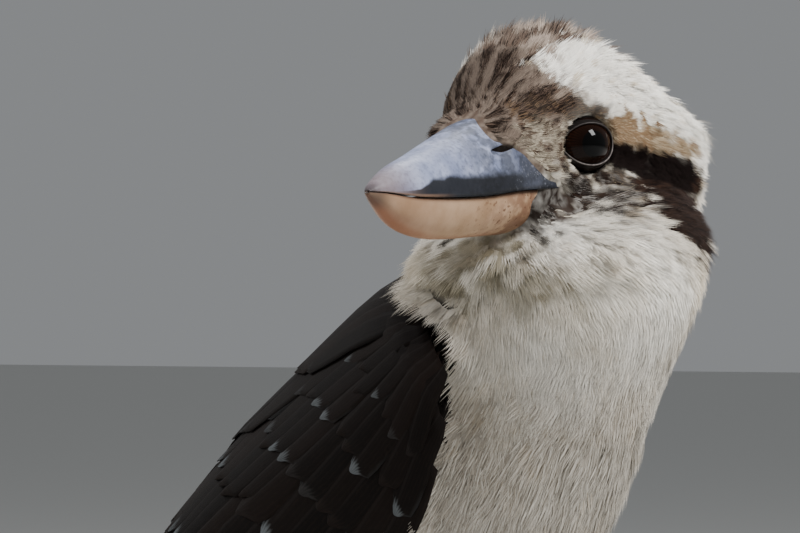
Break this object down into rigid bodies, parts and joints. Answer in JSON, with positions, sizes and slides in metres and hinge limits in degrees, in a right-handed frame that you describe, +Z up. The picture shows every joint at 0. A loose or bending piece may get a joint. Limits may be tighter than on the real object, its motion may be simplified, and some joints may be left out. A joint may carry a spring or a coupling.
{
  "type": "laughing kookaburra",
  "caption": "Still, life-size laughing kookaburra standing on both feet, its head turned to its right.",
  "frame": {"origin": "on the floor under the middle of the bird's box", "axes": "+Z up; -Y is the way the body faces, the tail points to +Y; +X is the bird's left, and the bill points to -X"},
  "size_m": [0.137, 0.2846, 0.2317],
  "materials": {
    "head_feathers": "soft feathers, brown-streaked crown, white brow and nape, dark ear patch",
    "body_feathers": "soft cream-white feathers, grey-buff in the hollows, dark brown on the back",
    "wing_feathers": "dark brown vanes with pale blue-grey tips on the coverts",
    "tail_feathers": "rufous vanes with dark bars and white tips",
    "bill_dark": "satin horn, slate blue-grey with a dark edge",
    "bill_pale": "satin horn, pinkish tan with brown stains",
    "eye": "wet, very dark brown",
    "legs": "scaled grey-green skin, dark claws"
  },
  "bodies": {
    "root": {"head": "head_feathers", "bill_upper": "bill_dark", "bill_lower": "bill_pale", "eye_left": "eye", "eye_right": "eye", "neck": "body_feathers", "torso": "body_feathers", "tail": "tail_feathers", "wing_left": "wing_feathers", "wing_right": "wing_feathers", "thigh_left": "body_feathers", "thigh_right": "body_feathers", "shank_left": "legs", "shank_right": "legs", "foot_left": "legs", "foot_right": "legs"}
  },
  "joints": []
}
